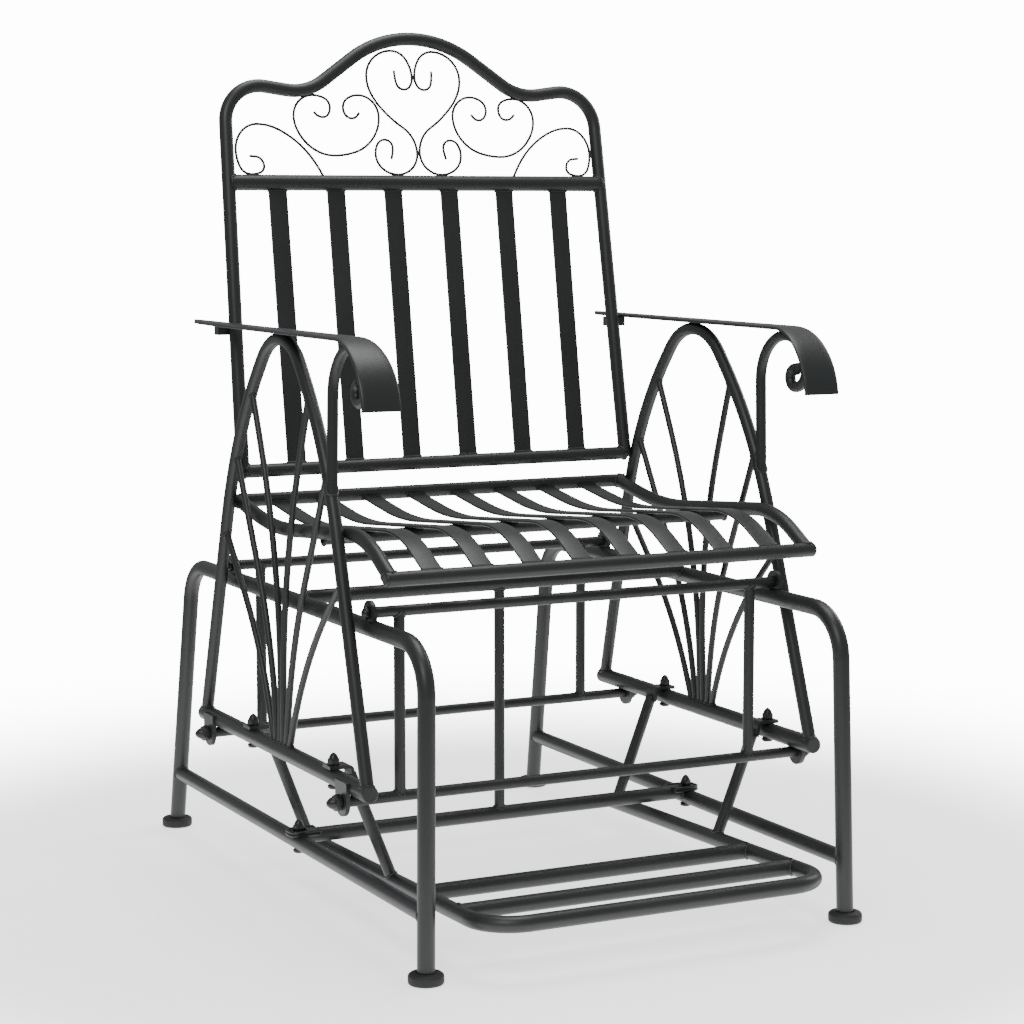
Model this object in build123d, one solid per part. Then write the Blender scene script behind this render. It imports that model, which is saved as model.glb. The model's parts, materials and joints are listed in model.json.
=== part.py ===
from build123d import *
import os
from math import cos, hypot, radians, sin

# Single-seat steel garden glider with a footrest.  Millimetres throughout.
# X runs across the chair, Y from front to rear and Z up.  Left and right are the sitter's:
# the sitter faces -Y, so the left side is +X.  Every Y below is measured from the axis of
# the front legs, and the finished pieces are moved so that the origin is on the floor
# under the middle of the chair.

# ---- Tubes, rods and flats -------------------------------------------------------
WALL = 1.5              # wall of every hollow tube
COPE_GAP = 0.03         # left between two tubes of equal diameter, where one is coped to the other
BASE_TUBE = 20.0        # bent side frames of the base
SIDE_RAIL_TUBE = 19.0   # lower side rails of the base
LOWER_CROSS_TUBE = 18.0
UPPER_CROSS_TUBE = 17.5
LINK_ROD = 13.0         # rods and posts of the two swinging link frames
UPPER_STUD = 8.0        # turned-down ends of the link rods, in the pivot lugs
LOWER_STUD = 10.0
ARCH_TUBE = 15.5
ARCH_RAIL_TUBE = 20.0
FAN_ROD = 8.0
ARM_SCROLL_ROD = 13.0
SEAT_TUBE = 17.0
BACK_TUBE = 17.0
BACK_TOP_TUBE = 20.0
SCROLL_WIRE = 3.5
SLAT_WIDTH = 25.0
SLAT_THICKNESS = 3.0
FOOTREST_TUBE = 19.0
STRUT_TUBE = 14.0

# ---- Base ------------------------------------------------------------------------
BASE_X = 271.0                      # side frames, from the middle of the chair, at the floor
BASE_LEAN = 0.0178                  # inward lean of the side frames, per millimetre of height
BASE_TOP_Z = 365.0
FRONT_LEG_LEAN = 9.5                # the front leg leans back this much from floor to rail
REAR_FOOT_Y = 801.5
REAR_KNEE_Y = 741.0
BASE_BEND = 55.0
SIDE_RAIL_Z = 75.0
CROSS_Y = 366.0
LOWER_CROSS_Z = 81.0
UPPER_CROSS_Z = 371.0
FOOT_RADIUS = 20.0
FOOT_HEIGHT = 13.0
FOOT_WALL = 9.5                     # height of the cap's upright side
FOOT_FLOOR = 4.0                    # rubber under the end of the leg

# ---- Link frames: two parallel pairs of equal links ---------------------------------
FRONT_PIVOT_Y = 154.5
REAR_PIVOT_Y = 583.0
UPPER_PIVOT_Z = 383.0
LOWER_PIVOT_Z = 171.0
LINK_POST_X = 231.0
LUG_THICKNESS = 5.0
UPPER_LUG_RADIUS = 14.0
LOWER_LUG_RADIUS = 16.0
UPPER_LUG_X = 264.0                 # inner face of the lug on the base rail
LOWER_LUG_X = 299.0                 # inner face of the lug on the arch rail
PIVOT_CLEARANCE = 0.05              # radial, stud in lug
SIDE_PLAY = 0.4                     # between lug and rod shoulder, and lug and nut

# ---- Seat side panels: arch, lower rail, fan of six rods ----------------------------
ARCH_X = 291.0                      # at the lower rail
ARCH_LEAN = 0.018                   # inward lean of the panels, per millimetre above the rail
ARCH_RAIL_Z = 189.0
ARCH_FRONT_Y = 108.0
ARCH_REAR_Y = 622.0
ARCH_CORNERS = [(232.0, 557.0), (373.5, 719.0), (521.0, 557.0)]
ARCH_RADII = [500.0, 80.0, 480.0]
FAN_FOOT_Y = 363.0                  # middle of the bundle at the lower rail
FAN_PITCH = 9.0
FAN_ROD_BENDS = [750.0, 550.0, 450.0]
# knee and top of each rod, the two inner ones first
FAN_RODS_REAR = [[(368.0, 400.0), (473.0, 622.0)],
                 [(399.0, 318.0), (522.0, 534.0)],
                 [(430.0, 297.0), (553.0, 430.0)]]
FAN_RODS_FRONT = [[(363.0, 405.0), (284.0, 628.0)],
                  [(334.0, 318.0), (230.0, 536.0)],
                  [(301.5, 302.0), (176.0, 424.0)]]

# ---- Seat ------------------------------------------------------------------------
SEAT_RAIL_X = 270.0
SEAT_REAR = (551.0, 468.5)
SEAT_DIP = (430.0, 446.5)
SEAT_CREST = (160.0, 470.0)
SEAT_FRONT = (88.0, 429.5)
SEAT_BENDS = [450.0, 140.0]
SEAT_SLAT_COUNT = 8
SEAT_SLAT_PITCH = 62.5
SEAT_SUPPORT_Y = 279.0
SEAT_SUPPORT_Z = 452.0
SEAT_SUPPORT_TUBE = 15.0

# ---- Back ------------------------------------------------------------------------
BACK_Y = 593.0                      # axis of the upper crossbar
BACK_Z = 863.0
BACK_LEAN = 9.3
BACK_LOWER_BAR = -361.0             # along the leaning back, from the upper crossbar
BACK_POST_FOOT = (271.5, -366.0)
BACK_SHOULDER = (260.5, 129.5)
BACK_DIP = (150.0, 114.0)
BACK_PEAK = (0.0, 221.0)
BACK_SHOULDER_BEND = 48.0
BACK_DIP_BEND = 70.0
BACK_PEAK_BEND = 146.0
BACK_SLAT_COUNT = 6
BACK_SLAT_PITCH = 79.5

# ---- Armrests --------------------------------------------------------------------
ARM_TOP_Z = 691.5
ARM_THICKNESS = 5.0
ARM_CURL_Y = 166.0                  # where the flat strip starts to curl down
ARM_CURL_RADIUS = 87.0
ARM_CURL_ANGLE = 84.0
ARM_BLANK = (281.0, 60.0)           # middle and width of the strip before it is cut to shape
ARM_SCROLL_Y = 217.0
ARM_SCROLL_FOOT_Z = 508.0
ARM_SCROLL_BEND_Z = 622.0
ARM_SCROLL_BENDS = [(58, 90), (47, 60), (25, 120), (11, 195)]       # radius and angle of each
ARM_BRACKET = (26.0, 14.0, 12.0)
ARM_BRACKET_X = 276.0
ARM_BRACKET_Y = 575.0

# ---- Footrest ----------------------------------------------------------------------
FOOTREST_X = 218.0
FOOTREST_FRONT_Y = -48.0
FOOTREST_REAR_Y = 476.0
FOOTREST_CROSS_Z = 55.0             # height of the side tubes under the lower crossbar
FOOTREST_SLOPE = 0.027              # fall of the footrest tubes towards the rear
FOOTREST_CORNER = 50.0
FOOTREST_END_ROUND = 5.0            # the two rear ends are plugged and rounded
FOOTREST_BARS_Y = [32.0, 130.0]
STRUTS_Y = [205.0, 458.0]
STRUT_TOP = (274.0, 190.0)          # X and Z of the upper end of the round part
TAB_THICKNESS = 4.0
TAB_WIDTH = 22.0
BOLT = 7.0
NUT_WIDTH = 13.0                    # across the flats
LOWER_NUT_WIDTH = 17.0
NUT_TIP_RADIUS = 2.6

ORIGIN_Y = (REAR_FOOT_Y + FOOT_RADIUS + FOOTREST_FRONT_Y - FOOTREST_TUBE / 2) / 2


def bar(path, diameter):
    """A solid round bar along a path."""
    section = Plane(path @ 0, z_dir=path % 0) * Circle(diameter / 2)
    return sweep(section, path=path)


def tube(path, diameter):
    """A hollow round tube along a path."""
    return bar(path, diameter) - bar(path, diameter - 2 * WALL)


def rod(start, end, diameter):
    """A straight solid rod between two points."""
    return bar(Line(start, end), diameter)


def across(y, z, half_length):
    """A straight line across the chair."""
    return Line((-half_length, y, z), (half_length, y, z))


def at_side(x, points):
    """Points given as (y, z), placed in the upright plane at x."""
    return [(x, y, z) for y, z in points]


def on_side(x_at, points):
    """Points given as (y, z), placed on a leaning side whose X depends on the height."""
    return [(x_at(z), y, z) for y, z in points]


def mirrored(part):
    """The same piece on the other side of the chair."""
    return mirror(part, about=Plane.YZ)


def both_sides(part):
    return [part, mirrored(part)]


def strip(path, width, thickness):
    """A flat strip, lying across the chair, that follows a path."""
    section = Plane(path @ 0, x_dir=(1, 0, 0), z_dir=path % 0) * Rectangle(width, thickness)
    return sweep(section, path=path)


def cap_nut(width, hex_height, total_height, bore, bore_depth):
    """A pointed cap nut that stands on the XY plane, with its blind hole facing down."""
    hexagon = extrude(RegularPolygon(width / 2, 6, major_radius=False), hex_height)
    dome_height = total_height - hex_height
    dome = Pos(0, 0, hex_height + dome_height / 2) * Cone(width / 2 - 0.4, NUT_TIP_RADIUS, dome_height)
    dome = fillet(dome.edges().sort_by(Axis.Z)[-1], NUT_TIP_RADIUS * 0.8)
    hole = extrude(Circle(bore / 2), bore_depth)
    return hexagon + dome - hole


def carriage_bolt(length):
    """A round-headed bolt along +Z with its head below the XY plane."""
    head = Pos(0, 0, -2) * Cylinder(BOLT, 4)
    head = fillet(head.edges().sort_by(Axis.Z)[0], 2.5)
    return head + extrude(Circle(BOLT / 2), length)


# ---- Base pieces -------------------------------------------------------------------

def base_x(z):
    """Distance of a base side frame from the middle of the chair, at a height."""
    return BASE_X - BASE_LEAN * z


def base_side_path(start_z):
    """The bent side frame, whose two ends stop a little above the floor."""
    front = (FRONT_LEG_LEAN * start_z / BASE_TOP_Z, start_z)
    rear = (REAR_FOOT_Y + (REAR_KNEE_Y - REAR_FOOT_Y) * start_z / BASE_TOP_Z, start_z)
    corners = [front, (FRONT_LEG_LEAN, BASE_TOP_Z), (REAR_KNEE_Y, BASE_TOP_Z), rear]
    return FilletPolyline(*on_side(base_x, corners), radius=BASE_BEND)


def foot_cap(y):
    """A flat round rubber cap with a sloping shoulder, pushed on the end of a leg."""
    shoulder = [(FOOT_RADIUS, FOOT_WALL), (FOOT_RADIUS - 3, FOOT_HEIGHT - 1), (FOOT_RADIUS - 7, FOOT_HEIGHT)]
    outline = Polyline((0, 0), (FOOT_RADIUS - 1, 0), (FOOT_RADIUS, 1), *shoulder,
                       (0, FOOT_HEIGHT), close=True)
    cap = revolve(Plane.XZ * make_face(outline), axis=Axis.Z)
    return Pos(BASE_X, y, 0) * cap - bar(base_side_path(FOOT_FLOOR), BASE_TUBE)


def lug(y, pivot_z, attach_z, inner_x, radius, stud):
    """A flat pivot lug with one round end, drilled for the stud."""
    middle = (pivot_z + attach_z) / 2
    plate = Circle(radius) + Pos(0, middle - pivot_z) * Rectangle(2 * radius, abs(attach_z - pivot_z))
    plate = plate - Circle(stud / 2 + PIVOT_CLEARANCE)
    placed = Plane(origin=(inner_x, y, pivot_z), x_dir=(0, 1, 0), z_dir=(1, 0, 0))
    return extrude(placed * plate, LUG_THICKNESS)


def make_base():
    side = bar(base_side_path(FOOT_FLOOR), BASE_TUBE)
    frame = tube(base_side_path(FOOT_FLOOR), BASE_TUBE)
    rail_x = base_x(SIDE_RAIL_Z)
    rail_line = Line((rail_x, 0, SIDE_RAIL_Z), (rail_x, REAR_FOOT_Y, SIDE_RAIL_Z))
    bolt_hole = rod((rail_x, CROSS_Y, 0), (rail_x, CROSS_Y, 2 * SIDE_RAIL_Z), BOLT + 0.4)
    rail_bar = bar(rail_line, SIDE_RAIL_TUBE)
    rail = (tube(rail_line, SIDE_RAIL_TUBE) - side - bolt_hole).solids().sort_by(SortBy.VOLUME)[-1]

    rail_top = SIDE_RAIL_Z + SIDE_RAIL_TUBE / 2
    tab_length = 36.0
    tab = Pos(rail_x - 5, CROSS_Y, rail_top + TAB_THICKNESS / 2) * Box(tab_length, TAB_WIDTH + 4, TAB_THICKNESS)
    tab = fillet(tab.edges().filter_by(Axis.Z).group_by(Axis.X)[-1], 9) - bolt_hole
    cross_line = across(CROSS_Y, LOWER_CROSS_Z, rail_x - NUT_WIDTH / 2 - 2)
    lower_cross = tube(cross_line, LOWER_CROSS_TUBE) - rail_bar - mirrored(rail_bar)
    lower_cross = lower_cross.solids().sort_by(SortBy.VOLUME)[-1] + both_sides(tab)

    upper_line = across(CROSS_Y, UPPER_CROSS_Z, base_x(UPPER_CROSS_Z) - 6)
    upper_cross = tube(upper_line, UPPER_CROSS_TUBE) - side - mirrored(side)
    upper_cross = upper_cross.solids().sort_by(SortBy.VOLUME)[-1]
    post = rod((0, CROSS_Y, LOWER_CROSS_Z), (0, CROSS_Y, UPPER_CROSS_Z), LINK_ROD)
    post = post - bar(cross_line, LOWER_CROSS_TUBE) - bar(upper_line, UPPER_CROSS_TUBE)

    lugs = []
    for y in (FRONT_PIVOT_Y, REAR_PIVOT_Y):
        plate = lug(y, UPPER_PIVOT_Z, BASE_TOP_Z, UPPER_LUG_X, UPPER_LUG_RADIUS, UPPER_STUD)
        lugs += both_sides(plate - side)
    caps = both_sides(foot_cap(0)) + both_sides(foot_cap(REAR_FOOT_Y))

    rail_bottom = SIDE_RAIL_Z - SIDE_RAIL_TUBE / 2
    nut_seat = rail_top + TAB_THICKNESS
    bolt = Pos(rail_x, CROSS_Y, rail_bottom) * carriage_bolt(nut_seat - rail_bottom + 7)
    nut = Pos(rail_x, CROSS_Y, nut_seat) * cap_nut(NUT_WIDTH, 6, 14, BOLT, 7)
    return {
        "base_frame_left": frame,
        "base_frame_right": mirrored(frame),
        "base_side_rail_left": rail,
        "base_side_rail_right": mirrored(rail),
        "base_lower_crossbar": lower_cross,
        "base_upper_crossbar": upper_cross,
        "base_centre_post": post,
        "upper_pivot_lugs": lugs,
        "foot_caps": caps,
        "crossbar_bolts": both_sides(bolt),
        "crossbar_cap_nuts": both_sides(nut),
    }


# ---- Link frames -------------------------------------------------------------------

def pivot_rod(y, z, lug_x, stud, nut_height):
    """A rod with turned-down ends, which carry the lugs and the nuts."""
    shoulder = lug_x - SIDE_PLAY
    stud_end = lug_x + LUG_THICKNESS + SIDE_PLAY + nut_height
    return rod((-shoulder, y, z), (shoulder, y, z), LINK_ROD) + rod((-stud_end, y, z), (stud_end, y, z), stud)


def pivot_nut(y, z, lug_x, width, hex_height, total_height, stud):
    seat = lug_x + LUG_THICKNESS + SIDE_PLAY
    placed = Plane(origin=(seat, y, z), x_dir=(0, 1, 0), z_dir=(1, 0, 0))
    return placed * cap_nut(width, hex_height, total_height, stud, hex_height)


def make_link(name, y):
    upper = pivot_rod(y, UPPER_PIVOT_Z, UPPER_LUG_X, UPPER_STUD, 4)
    lower = pivot_rod(y, LOWER_PIVOT_Z, LOWER_LUG_X, LOWER_STUD, 7)
    post = rod((LINK_POST_X, y, LOWER_PIVOT_Z), (LINK_POST_X, y, UPPER_PIVOT_Z), LINK_ROD) - upper - lower
    low_nut = pivot_nut(y, UPPER_PIVOT_Z, UPPER_LUG_X, NUT_WIDTH, 4, 8, UPPER_STUD)
    tall_nut = pivot_nut(y, LOWER_PIVOT_Z, LOWER_LUG_X, LOWER_NUT_WIDTH, 7, 17, LOWER_STUD)
    return {
        name + "_upper_rod": upper,
        name + "_lower_rod": lower,
        name + "_posts": both_sides(post),
        name + "_cap_nuts": both_sides(low_nut) + both_sides(tall_nut),
    }


# ---- Side panels -------------------------------------------------------------------

def arch_x(z):
    """Distance of a side panel from the middle of the chair, at a height."""
    return ARCH_X - ARCH_LEAN * (z - ARCH_RAIL_Z)


def arch_path():
    points = [(ARCH_FRONT_Y, ARCH_RAIL_Z), *ARCH_CORNERS, (ARCH_REAR_Y, ARCH_RAIL_Z)]
    return FilletPolyline(*on_side(arch_x, points), radius=ARCH_RADII)


def arch_rail_path():
    overhang = ARCH_TUBE / 2
    ends = [(ARCH_FRONT_Y - overhang, ARCH_RAIL_Z), (ARCH_REAR_Y + overhang, ARCH_RAIL_Z)]
    return Line(*at_side(ARCH_X, ends))


def fan_rods():
    """Six curved rods that gather side by side on the lower rail."""
    arch = bar(arch_path(), ARCH_TUBE)
    rail = bar(arch_rail_path(), ARCH_RAIL_TUBE)
    rods = []
    for side, shapes in ((1, FAN_RODS_REAR), (-1, FAN_RODS_FRONT)):
        for i, (knee, top) in enumerate(shapes):
            foot = (FAN_FOOT_Y + side * FAN_PITCH * (i + 0.5), ARCH_RAIL_Z)
            path = FilletPolyline(*on_side(arch_x, [foot, knee, top]), radius=FAN_ROD_BENDS[i])
            rods.append((bar(path, FAN_ROD) - arch - rail).solids().sort_by(SortBy.VOLUME)[-1])
    return rods


def make_side_panels():
    rail = bar(arch_rail_path(), ARCH_RAIL_TUBE)
    arch = (tube(arch_path(), ARCH_TUBE) - rail).solids().sort_by(SortBy.VOLUME)[-1]
    inner = ARCH_RAIL_TUBE - 2 * WALL
    first, last = arch_rail_path() @ 0, arch_rail_path() @ 1
    hollow = rod(first + (0, 2 * WALL, 0), last - (0, 2 * WALL, 0), inner)
    rail = fillet(rail.edges(), 2) - hollow
    for y in STRUTS_Y:
        rail = rail - rod((ARCH_X, y, ARCH_RAIL_Z - 20), (ARCH_X, y, ARCH_RAIL_Z + 20), BOLT + 0.4)
    rods = fan_rods()
    solid_rail = bar(arch_rail_path(), ARCH_RAIL_TUBE)
    lugs = []
    for y in (FRONT_PIVOT_Y, REAR_PIVOT_Y):
        plate = lug(y, LOWER_PIVOT_Z, ARCH_RAIL_Z + 6, LOWER_LUG_X, LOWER_LUG_RADIUS, LOWER_STUD)
        lugs += both_sides(plate - solid_rail)
    return {
        "arch_left": arch,
        "arch_right": mirrored(arch),
        "arch_rail_left": rail,
        "arch_rail_right": mirrored(rail),
        "fan_rods_left": rods,
        "fan_rods_right": [mirrored(r) for r in rods],
        "lower_pivot_lugs": lugs,
    }


# ---- Seat --------------------------------------------------------------------------

def make_seat():
    arch = bar(arch_path(), ARCH_TUBE)
    front_line = across(*SEAT_FRONT, SEAT_RAIL_X + SEAT_TUBE / 2)
    rear_line = across(*SEAT_REAR, SEAT_RAIL_X + SEAT_TUBE / 2)
    front_bar = bar(front_line, SEAT_TUBE)
    rear_bar = bar(rear_line, SEAT_TUBE)
    side_points = at_side(SEAT_RAIL_X, [SEAT_REAR, SEAT_DIP, SEAT_CREST, SEAT_FRONT])
    side_path = FilletPolyline(*side_points, radius=SEAT_BENDS)
    coping_bars = [bar(line, SEAT_TUBE + 2 * COPE_GAP) for line in (front_line, rear_line)]
    side = (tube(side_path, SEAT_TUBE) - coping_bars - arch).solids().sort_by(SortBy.VOLUME)[-1]

    end_cap = 2 * WALL
    bore = rod((end_cap - SEAT_RAIL_X - SEAT_TUBE / 2, *SEAT_FRONT),
               (SEAT_RAIL_X + SEAT_TUBE / 2 - end_cap, *SEAT_FRONT), SEAT_TUBE - 2 * WALL)
    front = fillet(front_bar.edges(), 3) - bore
    rear = tube(rear_line, SEAT_TUBE) - arch - mirrored(arch)
    rear = rear.solids().sort_by(SortBy.VOLUME)[-1]

    # Each slat runs from the front of the rear rail, along the side rails, to the front rail.
    rise = SLAT_THICKNESS / 2
    slat_points = [(SEAT_REAR[0], SEAT_REAR[1] - 3), (SEAT_DIP[0], SEAT_DIP[1] + rise),
                   (SEAT_CREST[0], SEAT_CREST[1] + rise), (SEAT_FRONT[0] + 2, SEAT_FRONT[1] + 5)]
    slat_path = FilletPolyline(*at_side(0, slat_points), radius=SEAT_BENDS)
    slat = strip(slat_path, SLAT_WIDTH, SLAT_THICKNESS) - front_bar - rear_bar
    slat = slat.solids().sort_by(SortBy.VOLUME)[-1]
    support_line = across(SEAT_SUPPORT_Y, SEAT_SUPPORT_Z, SEAT_RAIL_X)
    side_bar = bar(side_path, SEAT_TUBE)
    support = tube(support_line, SEAT_SUPPORT_TUBE) - side_bar - mirrored(side_bar)
    pieces = {
        "seat_front_rail": front,
        "seat_rear_rail": rear,
        "seat_side_rail_left": side,
        "seat_side_rail_right": mirrored(side),
        "seat_support": support.solids().sort_by(SortBy.VOLUME)[-1],
    }
    for i in range(SEAT_SLAT_COUNT):
        x = (i - (SEAT_SLAT_COUNT - 1) / 2) * SEAT_SLAT_PITCH
        pieces["seat_slat_%d" % (i + 1)] = Pos(x, 0, 0) * slat
    return pieces


# ---- Back --------------------------------------------------------------------------

LEAN = radians(BACK_LEAN)
BACK_PLANE = Plane(origin=(0, BACK_Y, BACK_Z), x_dir=(1, 0, 0), z_dir=(0, -cos(LEAN), sin(LEAN)))


def on_back(points):
    """Points given across and up the leaning back, as points of the chair."""
    return [BACK_PLANE.from_local_coords((x, s, 0)) for x, s in points]


def back_hoop_path():
    half = [BACK_POST_FOOT, BACK_SHOULDER, BACK_DIP]
    other = [(-x, s) for x, s in reversed(half)]
    bends = [BACK_SHOULDER_BEND, BACK_DIP_BEND]
    return FilletPolyline(*on_back(half + [BACK_PEAK] + other), radius=bends + [BACK_PEAK_BEND] + bends[::-1])


def scroll_path(stations):
    """A smooth run of arcs through stations (x, s, heading in degrees), two arcs to a gap."""
    arcs = []
    for (x0, s0, a0), (x1, s1, a1) in zip(stations, stations[1:]):
        t0 = Vector(cos(radians(a0)), sin(radians(a0)))
        t1 = Vector(cos(radians(a1)), sin(radians(a1)))
        gap = Vector(x1 - x0, s1 - s0)
        both = t0 + t1
        spread = 2 * (1 - t0.dot(t1))
        if spread < 1e-9:
            reach = gap.dot(gap) / (4 * gap.dot(t0))
        else:
            reach = (-gap.dot(both) + hypot(gap.dot(both), (spread * gap.dot(gap)) ** 0.5)) / spread
        start = Vector(x0, s0)
        joint = (start + Vector(x1, s1) + (t0 - t1) * reach) / 2
        arcs.append(TangentArc(start, joint, tangent=t0))
        arcs.append(TangentArc(joint, Vector(x1, s1), tangent=arcs[-1] % 1))
    return Wire([arc.edge() for arc in arcs])


# Wire scrolls of the right half, as stations across and up the back.
HEART_SCROLL = [(26.5, 146.0, -90), (14.3, 121.5, 180), (1.85, 137.0, 90), (29.0, 171.5, 0),
                (66.0, 136.0, -90), (51.0, 100.0, -130), (1.85, 39.0, -90), (31.0, 11.0, 0),
                (60.5, 37.0, 90), (46.5, 56.0, 180), (36.0, 46.0, -90), (39.0, 31.0, -70)]
C_SCROLL = [(79.5, 90.5, -60), (90.0, 83.0, 0), (101.5, 96.0, 90), (79.5, 113.0, 180), (52.5, 86.0, -90),
            (64.0, 56.0, -50), (118.0, 35.0, 0), (158.0, 54.0, 50), (170.0, 84.0, 90), (142.0, 112.0, 180),
            (119.5, 97.0, -90), (130.0, 84.0, 0), (142.0, 91.0, 60)]
SIDE_SCROLL = [(233.0, 33.5, 180), (226.0, 33.0, 180), (214.5, 21.0, -90), (232.0, 10.5, 0),
               (251.0, 40.0, 90), (220.0, 74.0, 180), (168.0, 52.0, -140), (134.0, 6.0, -115)]


def make_back():
    hoop_bar = bar(back_hoop_path(), BACK_TUBE)
    arch = bar(arch_path(), ARCH_TUBE)
    hoop = tube(back_hoop_path(), BACK_TUBE) - arch - mirrored(arch)
    hoop = hoop.solids().sort_by(SortBy.VOLUME)[-1]
    upper_line = Line(*on_back([(-262, 0), (262, 0)]))
    lower_line = Line(*on_back([(-270, BACK_LOWER_BAR), (270, BACK_LOWER_BAR)]))
    upper_bar = bar(upper_line, BACK_TOP_TUBE)
    lower_bar = bar(lower_line, BACK_TUBE)
    upper = (tube(upper_line, BACK_TOP_TUBE) - hoop_bar).solids().sort_by(SortBy.VOLUME)[-1]
    lower = (tube(lower_line, BACK_TUBE) - hoop_bar).solids().sort_by(SortBy.VOLUME)[-1]
    pieces = {"back_hoop": hoop, "back_upper_crossbar": upper, "back_lower_crossbar": lower}
    slat_height = -BACK_LOWER_BAR
    blank = BACK_PLANE * Pos(0, BACK_LOWER_BAR / 2, 0) * Box(SLAT_WIDTH, slat_height, SLAT_THICKNESS)
    for i in range(BACK_SLAT_COUNT):
        x = (i - (BACK_SLAT_COUNT - 1) / 2) * BACK_SLAT_PITCH
        pieces["back_slat_%d" % (i + 1)] = Pos(x, 0, 0) * blank - upper_bar - lower_bar
    for name, stations in (("heart", HEART_SCROLL), ("ring", C_SCROLL), ("corner", SIDE_SCROLL)):
        path = BACK_PLANE * scroll_path(stations)
        wire = bar(path, SCROLL_WIRE) - hoop_bar - upper_bar
        wire = wire.solids().sort_by(SortBy.VOLUME)[-1]
        pieces["back_%s_scrolls" % name] = both_sides(wire)
    return pieces


# ---- Armrests ----------------------------------------------------------------------

def side_plane(x, lean):
    """The plane of one side at floor distance x, with its own X along the chair and Y up."""
    return Plane(origin=(x, 0, 0), x_dir=(0, 1, 0), z_dir=(1, 0, lean))


def arm_strip():
    """A flat strip, pointed at the rear, that flares and curls down at the front."""
    mid_z = ARM_TOP_Z - ARM_THICKNESS / 2
    flat = Line((660, mid_z), (ARM_CURL_Y, mid_z))
    curl = JernArc(start=(ARM_CURL_Y, mid_z), tangent=(-1, 0), radius=ARM_CURL_RADIUS, arc_size=ARM_CURL_ANGLE)
    line = side_plane(ARM_BLANK[0], 0) * Wire([flat.edge(), curl.edge()])
    blank = strip(line, ARM_BLANK[1], ARM_THICKNESS)
    inner_edge = Polyline((259, 60), (260, 95), (268, 165), (276.8, 545))
    inner_tip = ThreePointArc((276.8, 545), (279.5, 610), (289, 653))
    outer_tip = ThreePointArc((289, 653), (299.5, 610), (303, 545))
    outer_edge = Polyline((303, 545), (304, 165), (306, 95), (306.5, 60), (259, 60))
    plan = make_face([*inner_edge.edges(), inner_tip, outer_tip, *outer_edge.edges()])
    return blank & extrude(Pos(0, 0, 500) * plan, 250)


def arm_scroll():
    """A rod that rises from the arch, follows the strip round and ends in a small curl."""
    edges = [Line((ARM_SCROLL_Y, ARM_SCROLL_FOOT_Z), (ARM_SCROLL_Y, ARM_SCROLL_BEND_Z))]
    for radius, angle in ARM_SCROLL_BENDS:
        edges.append(JernArc(start=edges[-1] @ 1, tangent=edges[-1] % 1, radius=radius, arc_size=angle))
    return bar(side_plane(arch_x(0), ARCH_LEAN) * Wire([edge.edge() for edge in edges]), ARM_SCROLL_ROD)


def make_arms():
    strip_left = arm_strip()
    arch = bar(arch_path(), ARCH_TUBE)
    hoop = bar(back_hoop_path(), BACK_TUBE)
    scroll = (arm_scroll() - arch - strip_left).solids().sort_by(SortBy.VOLUME)[-1]
    bracket_z = ARM_TOP_Z - ARM_THICKNESS - ARM_BRACKET[2] / 2
    bracket = Pos(ARM_BRACKET_X, ARM_BRACKET_Y, bracket_z) * Box(*ARM_BRACKET) - hoop
    bracket = bracket.solids().sort_by(SortBy.VOLUME)[-1]
    strip_left = strip_left - arch
    return {
        "armrest_left": strip_left,
        "armrest_right": mirrored(strip_left),
        "arm_scroll_rods": both_sides(scroll),
        "arm_brackets": both_sides(bracket),
    }


# ---- Footrest ----------------------------------------------------------------------

def on_footrest(x, y):
    """A point of the tube axis plane, from its place across and along the chair."""
    return Vector(x, y, FOOTREST_CROSS_Z + (CROSS_Y - y) * FOOTREST_SLOPE)


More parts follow.
